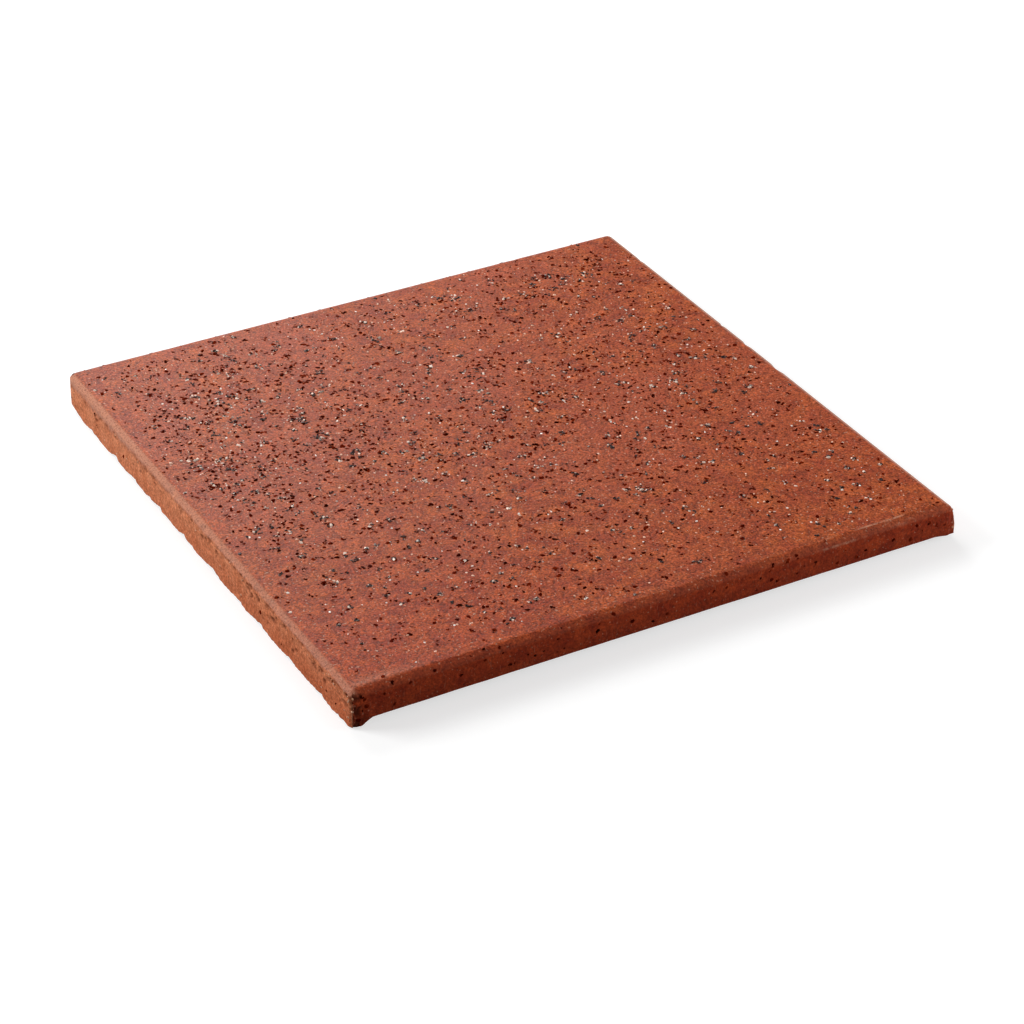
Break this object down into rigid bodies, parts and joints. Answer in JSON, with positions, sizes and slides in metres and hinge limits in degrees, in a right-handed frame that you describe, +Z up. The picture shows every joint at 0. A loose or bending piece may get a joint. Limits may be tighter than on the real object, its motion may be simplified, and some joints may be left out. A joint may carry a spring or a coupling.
{
  "type": "quarry tile",
  "caption": "Square red unglazed quarry floor tile with black abrasive grit in its wearing face, a bevelled arris and a ribbed bed.",
  "frame": {"origin": "middle of the bed, in the plane that the ribs rest on", "axes": "+Z up out of the wearing face, +X along the ribs and the die-formed front and back edges, +Y from the front edge to the back edge"},
  "size_m": [0.1524, 0.1524, 0.0095],
  "materials": {
    "fired_clay": "unglazed red fired clay, matt, with black abrasive grit in the wearing face"
  },
  "bodies": {
    "root": {"quarry_tile": "fired_clay"}
  },
  "joints": []
}
